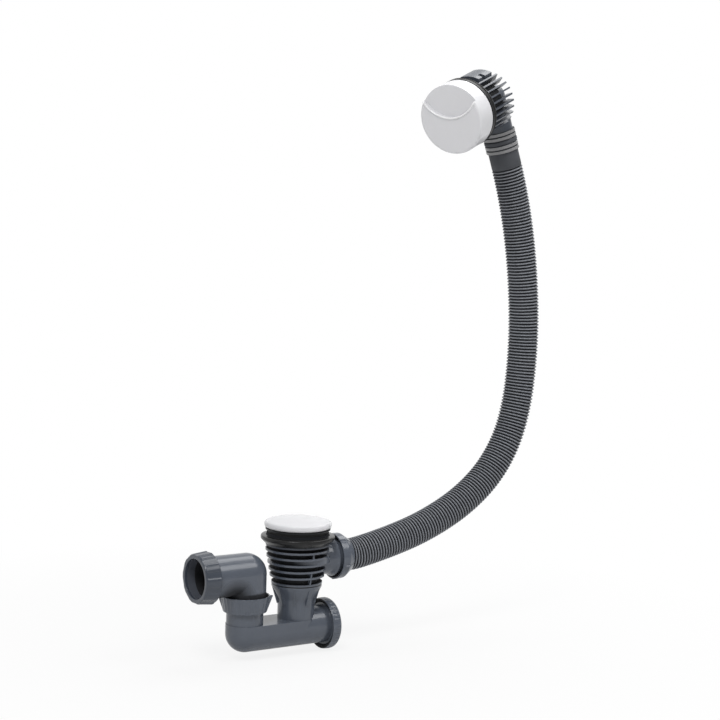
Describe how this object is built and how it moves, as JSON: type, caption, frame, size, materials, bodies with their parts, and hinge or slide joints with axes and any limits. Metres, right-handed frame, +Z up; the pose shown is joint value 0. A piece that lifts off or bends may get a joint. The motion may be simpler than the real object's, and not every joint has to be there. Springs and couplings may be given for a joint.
{
  "type": "bath waste and overflow",
  "caption": "Cable-operated pop-up bath waste: a domed plug over a finned waste body with a P-trap, joined by a corrugated hose to an overflow head whose knob lifts the plug.",
  "frame": {"origin": "on the waste's axis, on the bath's surface under the flange's foam gasket", "axes": "+Z up along the waste's axis, +X towards the hose and the cleaning cap, -X towards the outlet"},
  "size_m": [0.4264, 0.1036, 0.6119],
  "materials": {
    "white_plastic": "gloss white",
    "grey_plastic": "satin dark grey",
    "hose_plastic": "satin dark grey",
    "black_plastic": "satin black",
    "rubber": "matt",
    "foam": "matt foam",
    "steel": "satin"
  },
  "bodies": {
    "housing": {"waste_flange": "grey_plastic", "flange_screws": "steel", "upper_gasket": "foam", "lip_gasket": "rubber", "waste_body": "grey_plastic", "lever_pin": "steel", "lower_cable_guide": "black_plastic", "upper_cable_guide": "black_plastic", "control_cable": "black_plastic", "overflow_hose": "hose_plastic", "hose_washer": "rubber", "hose_nut": "grey_plastic", "overflow_body": "grey_plastic", "overflow_gasket": "rubber", "front_plate": "black_plastic", "overflow_screws": "steel", "inlet_seal": "rubber", "trap_body": "grey_plastic", "cap_seal": "rubber", "cleaning_cap": "grey_plastic", "riser_seal": "rubber", "riser_nut": "grey_plastic", "elbow": "grey_plastic", "outlet_seal": "rubber", "outlet_friction_ring": "black_plastic", "outlet_nut": "grey_plastic"},
    "knob": {"knob": "white_plastic", "knob_spindle": "steel", "spindle_clip": "steel", "cable_crank": "black_plastic"},
    "plug": {"plug_cap": "white_plastic", "plug_seal": "rubber", "plug_stem": "black_plastic", "stem_screw": "steel", "stem_lock_nut": "steel"},
    "lever": {"lift_lever": "black_plastic"},
    "lower_wire": {"lower_wire": "steel"},
    "upper_wire": {"upper_wire": "steel"}
  },
  "joints": [
    {"name": "knob_turn", "type": "hinge", "parent": "housing", "child": "knob", "pos_m": [0.23065, 0, 0.45537], "axis": [-0.8781, -0.3665, -0.3075], "range_deg": [0, 90]},
    {"name": "plug_lift", "type": "slide", "parent": "housing", "child": "plug", "axis": [0, 0, 1], "range_m": [0, 0.00946]},
    {"name": "lever_swing", "type": "hinge", "parent": "housing", "child": "lever", "pos_m": [0.013, 0, -0.03977], "axis": [0, 1, 0], "range_deg": [0, 40.01]},
    {"name": "lower_wire_pull", "type": "slide", "parent": "housing", "child": "lower_wire", "axis": [1, 0, 0], "range_m": [0, 0.00725]},
    {"name": "upper_wire_pull", "type": "slide", "parent": "housing", "child": "upper_wire", "axis": [-0.3305, 0, 0.9438], "range_m": [0, 0.00725]}
  ],
  "couplings": [
    {"joint": "plug_lift", "follows": "knob_turn", "m_per_rad": 0.0060245},
    {"joint": "lever_swing", "follows": "knob_turn", "ratio": 0.44444},
    {"joint": "lower_wire_pull", "follows": "knob_turn", "m_per_rad": 0.0046125},
    {"joint": "upper_wire_pull", "follows": "knob_turn", "m_per_rad": 0.0046125}
  ]
}
